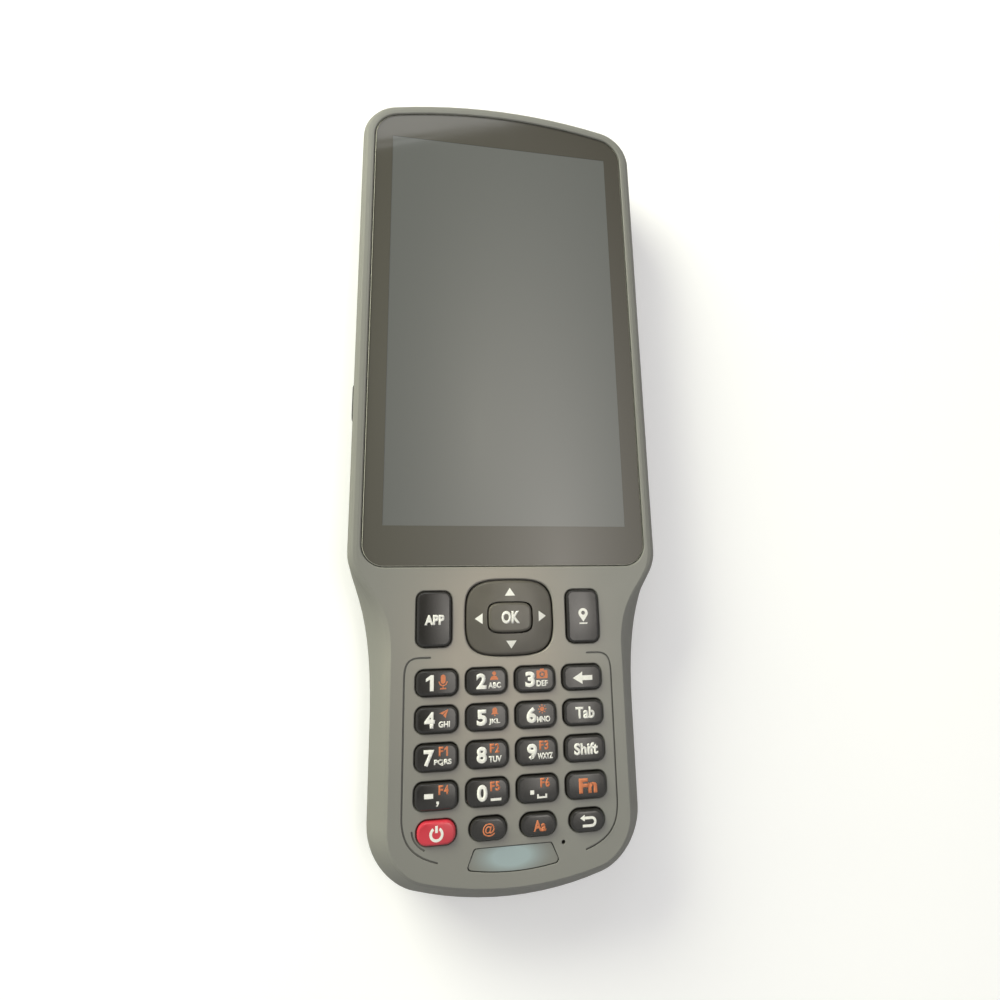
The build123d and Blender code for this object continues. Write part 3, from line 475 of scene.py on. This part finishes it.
def plane_sign():
    upper = [(-1.15, 0.2), (1.1, 1.05), (-0.35, -0.15)]
    lower = [(-0.2, -0.3), (1.1, 1.05), (0.4, -1.05)]
    return [[upper], [lower]]


def bell_sign():
    dome = [(-0.95, -0.65), (-0.62, -0.25)] + arc(0, 0.35, 0.62, 180, 0) + [(0.62, -0.25),
                                                                          (0.95, -0.65)]
    return [[dome], [disc(0, -0.92, 0.2)]]


def sun_sign():
    rays = [turned(bar(-0.11, 0.72, 0.11, 1.12), 45 * step) for step in range(8)]
    return [[disc(0, 0, 0.55)]] + [[ray] for ray in rays]


def power_sign():
    return [[thick_arc(0, -0.1, 1.72, 1.08, 122, 418)], [bar(-0.32, 0.25, 0.32, 1.8)]]


def return_sign():
    """Arrow that turns back on itself."""
    outer = arc(0.9, -0.18, 1.23, 90, -90)
    inner = arc(0.9, -0.18, 0.6, -90, 90)
    shaft = [(-0.95, 1.05)] + outer + [(-1.5, -1.41), (-1.5, -0.78)] + inner + [(-0.95, 0.42)]
    return [[shaft + [(-0.95, -0.02), (-2.15, 0.74), (-0.95, 1.5)]]]


def backspace_sign():
    return [[[(-2.7, 0.0), (-0.1, -1.55), (-0.1, -0.62), (2.7, -0.62), (2.7, 0.62),
              (-0.1, 0.62), (-0.1, 1.55)]]]


def pin_sign():
    """Map pin with its hole, standing on a short line."""
    drop = arc(0, 0.8, 1.3, -32, 212) + [(0.0, -1.5)]
    return [[drop, disc(0, 0.85, 0.55)], [bar(-1.1, -2.1, 1.1, -1.72)]]


def comma_sign():
    return [[[(-0.3, 0.45), (-0.3, -0.1), (0.0, -0.12), (-0.35, -0.6), (-0.1, -0.75),
              (0.33, -0.15), (0.33, 0.45)]]]


def space_sign():
    return [[[(-1.3, 0.5), (-1.3, -0.5), (1.3, -0.5), (1.3, 0.5), (0.85, 0.5),
              (0.85, -0.05), (-0.85, -0.05), (-0.85, 0.5)]]]


# ======================================================================================
# Printing on curved keys
# ======================================================================================

def filled_area(curve):
    """The filled inside of a flat curve or text, as editable mesh data."""
    holder = bpy.data.objects.new(curve.name, curve)
    bpy.context.scene.collection.objects.link(holder)
    bpy.context.view_layer.update()
    data = bpy.data.meshes.new_from_object(holder)
    bpy.data.objects.remove(holder)
    area = bmesh.new()
    area.from_mesh(data)
    bpy.data.meshes.remove(data)
    bmesh.ops.remove_doubles(area, verts=area.verts, dist=SAME_POINT)
    return area


def sign_area(name, shapes):
    """A sign given by outlines, with its holes left open."""
    curve = bpy.data.curves.new(name, "CURVE")
    curve.dimensions = "2D"
    curve.fill_mode = "BOTH"
    for loops in shapes:
        for points in loops:
            spline = curve.splines.new("POLY")
            spline.points.add(len(points) - 1)
            for point, (x, y) in zip(spline.points, points):
                point.co = (x, y, 0.0, 1.0)
            spline.use_cyclic_u = True
    return filled_area(curve)


def text_area(name, text, weight):
    """Letters of the built-in face, thickened by weight."""
    curve = bpy.data.curves.new(name, "FONT")
    curve.body = text
    curve.size = 1.0
    curve.offset = weight
    curve.resolution_u = 4
    return filled_area(curve)


def fit_area(area, size):
    """Centres an area on nought and stretches it to an exact width and height."""
    xs = [vertex.co.x for vertex in area.verts]
    ys = [vertex.co.y for vertex in area.verts]
    for vertex in area.verts:
        vertex.co.x = (vertex.co.x - (max(xs) + min(xs)) / 2) * size[0] / (max(xs) - min(xs))
        vertex.co.y = (vertex.co.y - (max(ys) + min(ys)) / 2) * size[1] / (max(ys) - min(ys))


def place_area(area, centre):
    """Takes an area from millimetres at the origin to metres at its centre."""
    for vertex in area.verts:
        vertex.co.x = (vertex.co.x + centre[0]) * MM
        vertex.co.y = (vertex.co.y + centre[1]) * MM


def shorten_edges(area, longest):
    """Cuts long edges so that a flat print can follow a dome."""
    bmesh.ops.triangulate(area, faces=area.faces)
    for _ in range(PRINT_ROUNDS):
        long_edges = [edge for edge in area.edges if edge.calc_length() > longest]
        if not long_edges:
            return
        bmesh.ops.subdivide_edges(area, edges=long_edges, cuts=1)
        bmesh.ops.triangulate(area, faces=area.faces)


def surface_below(node):
    """Looks up the height of a node's top surface at any x and y."""
    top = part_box(node)[1].z
    points = [vertex.co for vertex in NODES[node].data.vertices]
    faces = [polygon.vertices for polygon in NODES[node].data.polygons]
    tree = BVHTree.FromPolygons(points, faces)

    def height(x, y):
        hit = tree.ray_cast(Vector((x, y, top + MM)), Vector((0, 0, -1)))[0]
        return hit.z if hit else top
    return height


def thickened(area):
    """Doubles a flat area into a closed layer; returns its upper points, not yet lifted."""
    upper = bmesh.ops.extrude_face_region(area, geom=area.faces[:])
    return {item for item in upper["geom"] if isinstance(item, bmesh.types.BMVert)}


def finish_print(name, area, material):
    """Turns a thin closed print into a piece of its own."""
    bmesh.ops.recalc_face_normals(area, faces=area.faces)
    data = bpy.data.meshes.new(name)
    area.to_mesh(data)
    area.free()
    data.materials.append(material)
    piece = bpy.data.objects.new(name, data)
    bpy.context.scene.collection.objects.link(piece)
    return piece


def print_on(name, area, node, centre, colour, materials):
    """Gives a flat area its ink thickness and lays it on a key."""
    low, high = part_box(node)
    place_area(area, centre)
    shorten_edges(area, PRINT_STEP * MM)
    raised = thickened(area)
    height = surface_below(node)
    for vertex in area.verts:
        x = vertex.co.x + (low.x + high.x) / 2
        y = vertex.co.y + (low.y + high.y) / 2
        lift = PRINT_LIFT if vertex in raised else -PRINT_ROOT
        vertex.co = (x, y, height(x, y) + lift * MM)
    piece = finish_print(name, area, materials[colour])
    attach(piece, node)


def print_text(node, part, text, centre, size, colour, materials, weight=LETTER_WEIGHT):
    name = f"legend_{node}_{part}"
    area = text_area(name, text, weight)
    fit_area(area, size)
    print_on(name, area, node, centre, colour, materials)


def print_sign(node, part, shapes, centre, colour, materials):
    name = f"legend_{node}_{part}"
    print_on(name, sign_area(name, shapes), node, centre, colour, materials)


def print_one(node, part, centre, size, colour, materials):
    """The digit one, which the built-in face draws as a plain bar."""
    name = f"legend_{node}_{part}"
    area = sign_area(name, one_sign())
    fit_area(area, size)
    print_on(name, area, node, centre, colour, materials)


def print_digits(materials):
    """The large white figures on the left of the number keys."""
    print_one("key_1", "digit", (-1.85, 0.1), (2.0, DIGIT[1]), WHITE, materials)
    places = {"key_2": -1.45, "key_3": -1.4, "key_4": -1.8, "key_5": -1.4, "key_6": -1.3,
              "key_7": -1.85, "key_8": -1.5, "key_9": -1.35, "key_0": -1.45}
    for node, x in places.items():
        print_text(node, "digit", node[-1], (x, 0.05), DIGIT, WHITE, materials,
                   DIGIT_WEIGHT)


def print_letters(materials):
    """The small white letters at the lower right of the number keys."""
    words = {"key_2": ("ABC", 2.0, 3.4), "key_3": ("DEF", 1.8, 3.1), "key_4": ("GHI", 1.9, 2.9),
             "key_5": ("JKL", 1.85, 3.0), "key_6": ("MNO", 1.9, 3.6),
             "key_7": ("PQRS", 1.6, 4.4), "key_8": ("TUV", 1.95, 3.3),
             "key_9": ("WXYZ", 2.1, 4.1)}
    for node, (text, x, width) in words.items():
        print_text(node, "letters", text, (x, -1.05), (width, 1.5), WHITE, materials)


def print_functions(materials):
    """The orange F1 to F6 at the upper right of the lower number keys."""
    nodes = ("key_7", "key_8", "key_9", "key_minus", "key_0", "key_dot")
    for number, node in enumerate(nodes, start=1):
        print_text(node, "function", "F", (1.15, 1.5), FUNCTION_MARK, ORANGE, materials)
        if number == 1:
            print_one(node, "number", (2.4, 1.5), (0.9, FUNCTION_MARK[1]), ORANGE, materials)
        else:
            print_text(node, "number", str(number), (2.5, 1.5), FUNCTION_MARK, ORANGE,
                       materials, FUNCTION_WEIGHT)


def print_words(materials):
    """The words of the wide keys, each with its own width, height and weight."""
    words = (
        ("key_tab", "Tab", (0.3, 0.0), (5.2, 2.9), WHITE, 0.035),
        ("key_shift", "Shift", (0.2, 0.0), (6.5, 2.9), WHITE, 0.04),
        ("key_fn", "Fn", (0.3, 0.0), (4.9, 3.6), ORANGE, 0.05),
        ("key_at", "@", (0.1, -0.1), (3.1, 3.0), ORANGE, 0.012),
        ("key_letter_case", "Aa", (0.2, -0.15), (3.2, 2.6), ORANGE, 0.035),
        ("app_key", "APP", (0.1, -0.2), (5.2, 2.6), WHITE, 0.05),
        ("ok_key", "OK", (0.05, 0.05), (5.0, 3.3), WHITE, 0.045),
    )
    for node, text, centre, size, colour, weight in words:
        print_text(node, "word", text, centre, size, colour, materials, weight)


def print_signs(materials):
    """Arrows, dashes and the other signs that the built-in face lacks."""
    signs = (
        ("key_1", "sign", microphone_sign(), (1.55, 0.3), ORANGE),
        ("key_2", "sign", person_sign(), (1.9, 1.35), ORANGE),
        ("key_3", "sign", camera_sign(), (1.8, 1.35), ORANGE),
        ("key_4", "sign", plane_sign(), (1.8, 1.45), ORANGE),
        ("key_5", "sign", bell_sign(), (1.95, 1.4), ORANGE),
        ("key_6", "sign", sun_sign(), (1.55, 1.45), ORANGE),
        ("key_backspace", "sign", backspace_sign(), (0.0, -0.1), WHITE),
        ("key_minus", "dash", [[bar(-1.1, -0.55, 1.1, 0.55)]], (-1.85, 0.25), WHITE),
        ("key_minus", "comma", comma_sign(), (0.35, -1.45), WHITE),
        ("key_0", "dash", [[bar(-1.35, -0.3, 1.35, 0.3)]], (2.0, -1.55), WHITE),
        ("key_dot", "dot", [[bar(-0.5, -0.5, 0.5, 0.5)]], (-1.6, -0.6), WHITE),
        ("key_dot", "space", space_sign(), (0.95, -1.6), WHITE),
        ("key_power", "sign", power_sign(), (0.0, 0.0), WHITE),
        ("key_return", "sign", return_sign(), (0.1, 0.0), WHITE),
        ("pin_key", "sign", pin_sign(), (0.0, 0.0), WHITE),
        ("nav_ring", "up", triangle_sign(0), (0.0, 6.7), WHITE),
        ("nav_ring", "down", triangle_sign(180), (0.2, -7.0), WHITE),
        ("nav_ring", "left", triangle_sign(90), (-8.45, -0.2), WHITE),
        ("nav_ring", "right", triangle_sign(-90), (8.85, 0.2), WHITE),
    )
    for node, part, shapes, centre, colour in signs:
        print_sign(node, part, shapes, centre, colour, materials)


# ======================================================================================
# Layers inside the cover glass
# ======================================================================================

def underside_loop(node):
    """The outline of a node's flat underside, as ordered points."""
    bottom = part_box(node)[0].z
    sheet = bmesh.new()
    sheet.from_mesh(NODES[node].data)
    bmesh.ops.remove_doubles(sheet, verts=sheet.verts, dist=SAME_POINT)
    level = {face for face in sheet.faces
             if all(vertex.co.z < bottom + 0.01 * MM for vertex in face.verts)}
    others = [face for face in sheet.faces if face not in level]
    bmesh.ops.delete(sheet, geom=others, context="FACES")
    edge = next(edge for edge in sheet.edges if edge.is_boundary)
    start = vertex = edge.verts[0]
    points = []
    while True:
        points.append((vertex.co.x / MM, vertex.co.y / MM))
        vertex = edge.other_vert(vertex)
        if vertex == start:
            break
        edge = next(e for e in vertex.link_edges if e.is_boundary and e is not edge)
    sheet.free()
    return points


def drawn_in(points, margin):
    """A loop scaled about its middle so that its sides move in by a margin."""
    xs = [x for x, y in points]
    ys = [y for x, y in points]
    middle_x, middle_y = (max(xs) + min(xs)) / 2, (max(ys) + min(ys)) / 2
    shrink_x = 1 - 2 * margin / (max(xs) - min(xs))
    shrink_y = 1 - 2 * margin / (max(ys) - min(ys))
    return [(middle_x + (x - middle_x) * shrink_x, middle_y + (y - middle_y) * shrink_y)
            for x, y in points]


def bond_under_glass(name, shape, heights, material):
    """Adds a thin layer of the given shape at two heights above the glass's underside."""
    area = sign_area(name, [shape])
    place_area(area, (0.0, 0.0))
    raised = thickened(area)
    for vertex in area.verts:
        step = heights[1] if vertex in raised else heights[0]
        vertex.co.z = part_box("cover_glass")[0].z + step * MM
    piece = finish_print(name, area, material)
    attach(piece, "case")


def display_window(grow):
    """The display's visible rectangle, grown all round, in millimetres."""
    low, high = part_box("display_module")
    margin_x, margin_y = BORDER_WINDOW[0] - grow, BORDER_WINDOW[1] - grow
    return bar(low.x / MM + margin_x, low.y / MM + margin_y,
               high.x / MM - margin_x, high.y / MM - margin_y)


def add_layers_under_glass(materials):
    """The black printed frame, and the display's front sheet beneath it."""
    outer = drawn_in(underside_loop("cover_glass"), BORDER_EDGE)
    bond_under_glass("display_border", [outer, display_window(0.0)], BORDER_HEIGHT,
                     materials["bezel_print"])
    bond_under_glass("display_sheet", [display_window(SHEET_OVERLAP)], SHEET_HEIGHT,
                     materials["display"])


# ======================================================================================
# Stage
# ======================================================================================

def add_camera():
    """The photograph's view of the device."""
    data = bpy.data.cameras.new("camera")
    data.sensor_width = CAMERA_SENSOR
    data.lens = CAMERA_LENS
    data.shift_x, data.shift_y = CAMERA_SHIFT
    data.clip_start = 0.01
    camera = bpy.data.objects.new("camera", data)
    bpy.context.scene.collection.objects.link(camera)
    place = Vector(CAMERA_PLACE) * MM
    backwards = (place - Vector(CAMERA_AIM) * MM).normalized()
    right = Vector((0, 1, 0)).cross(backwards).normalized()
    up = backwards.cross(right)
    turn = Matrix.Rotation(math.radians(CAMERA_ROLL), 3, backwards)
    axes = Matrix((turn @ right, turn @ up, backwards)).transposed()
    camera.matrix_world = Matrix.Translation(place) @ axes.to_4x4()
    bpy.context.scene.camera = camera


def add_area_light(name, place, aim, size, power, colour):
    """A soft lamp that shines from a place towards an aim and shows in no reflection."""
    data = bpy.data.lights.new(name, "AREA")
    data.shape = "RECTANGLE"
    data.size, data.size_y = size
    data.energy = power
    data.color = colour
    light = bpy.data.objects.new(name, data)
    bpy.context.scene.collection.objects.link(light)
    light.visible_glossy = False
    light.location = Vector(place)
    direction = Vector(aim) - Vector(place)
    light.rotation_euler = direction.to_track_quat("-Z", "Y").to_euler()


def add_card(name, corners):
    """A flat panel of the studio, given by its corners."""
    data = bpy.data.meshes.new(name)
    data.from_pydata(corners, [], [tuple(range(len(corners)))])
    card = bpy.data.objects.new(name, data)
    bpy.context.scene.collection.objects.link(card)
    return card


def add_soft_panel(middle, half_size, near_edge, strength, colour):
    """Overhead panel, brightest in its middle and cut short at its near edge."""
    x, y, z = middle
    across, along = half_size
    corners = [(x - across, near_edge, z), (x + across, near_edge, z),
               (x + across, y + along, z), (x - across, y + along, z)]
    panel = add_card("overhead_panel", corners)
    panel.visible_camera = False
    s = Shader("overhead_panel")
    light = s.add("ShaderNodeEmission")
    light.inputs["Color"].default_value = (*colour, 1.0)
    shape = s.glow(middle, (across, along, 1.0))
    s.link(s.spread(shape, 0.0, strength, 0.0, 1.0), light.inputs["Strength"])
    s.link(light.outputs["Emission"], s.output.inputs["Surface"])
    panel.data.materials.append(s.material)


def add_window_cards(strength):
    """Pale cards whose slanting edges show in the glass's upper left corner."""
    y = WINDOW_Y
    cards = {
        "window_card": [(-0.4, y, 0.5), (0.2, y, 0.5), (0.2, y, 0.653), (-0.4, y, 0.853)],
        "window_strip": [(-0.4, y, 0.871), (0.13, y, 0.681), (0.13, y, 0.684), (-0.4, y, 0.883)],
    }
    s = Shader("window_card")
    light = s.add("ShaderNodeEmission")
    light.inputs["Strength"].default_value = strength
    s.link(light.outputs["Emission"], s.output.inputs["Surface"])
    for name, corners in cards.items():
        card = add_card(name, corners)
        card.visible_camera = False
        card.data.materials.append(s.material)


def add_floor():
    """Pale sheet under the device that fades into the white behind it.

    It is dimmer in bounced light than to the eye.
    """
    half = FLOOR_HALF
    corners = [(-half, -half, 0), (half, -half, 0), (half, half, 0), (-half, half, 0)]
    floor = add_card("floor", corners)
    floor.location.z = -FLOOR_CLEARANCE
    s = Shader("floor_paper")
    tone = s.spread(s.noise(3.0, 2.0), 0.0, 1.0)
    paper = s.mix_colours(tone, (0.92, 0.93, 0.95), (0.94, 0.95, 0.97))
    seen = s.add("ShaderNodeLightPath").outputs["Is Camera Ray"]
    base = s.mix_colours(seen, FLOOR_BOUNCE, paper)
    glow = s.spread(seen, 0.0, FLOOR_SEEN_GLOW, 0.0, 1.0)
    sheet = s.principled(Base_Color=base, Roughness=0.9, Emission_Color=(1.0, 1.0, 1.0),
                         Emission_Strength=glow)
    far = s.add("ShaderNodeEmission")
    far.inputs["Strength"].default_value = STUDIO_WHITE
    near = s.glow((0.0, 0.0, 0.0), (FLOOR_FADE, FLOOR_FADE, 1.0))
    mix = s.add("ShaderNodeMixShader")
    s.link(s.spread(near, 0.0, 1.0, 0.0, 0.6), mix.inputs["Fac"])
    s.link(far.outputs["Emission"], mix.inputs[1])
    s.link(sheet.outputs["BSDF"], mix.inputs[2])
    s.link(mix.outputs["Shader"], s.output.inputs["Surface"])
    floor.data.materials.append(s.material)


def add_world(seen, cast):
    """White behind the scene, with a dimmer glow for light and reflections."""
    world = bpy.data.worlds.new("studio")
    bpy.context.scene.world = world
    world.use_nodes = True
    tree = world.node_tree
    background = tree.nodes["Background"]
    background.inputs["Color"].default_value = (1.0, 1.0, 1.0, 1.0)
    path = tree.nodes.new("ShaderNodeLightPath")
    strength = tree.nodes.new("ShaderNodeMapRange")
    strength.inputs["To Min"].default_value = cast
    strength.inputs["To Max"].default_value = seen
    tree.links.new(path.outputs["Is Camera Ray"], strength.inputs["Value"])
    tree.links.new(strength.outputs["Result"], background.inputs["Strength"])


def add_lights():
    add_world(STUDIO_WHITE, STUDIO_GLOW)
    add_soft_panel(PANEL_MIDDLE, PANEL_HALF_SIZE, PANEL_NEAR_EDGE, PANEL_STRENGTH,
                   PANEL_COLOUR)
    add_window_cards(WINDOW_STRENGTH)
    add_area_light("side_light", (-0.65, 0.75, 0.40), (0, 0, 0), (0.7, 0.5), 15.5,
                   (1.0, 1.0, 0.80))
    add_area_light("edge_light", (-0.8, 0.15, 0.12), (0, 0.06, 0), (0.4, 0.2), 1.9,
                   (1.0, 1.0, 0.78))


def build():
    materials = make_materials()
    dress_cad_nodes(materials)
    print_digits(materials)
    print_letters(materials)
    print_functions(materials)
    print_words(materials)
    print_signs(materials)
    add_layers_under_glass(materials)
    add_floor()
    add_lights()
    add_camera()
    bpy.context.scene.view_settings.view_transform = "Standard"


build()
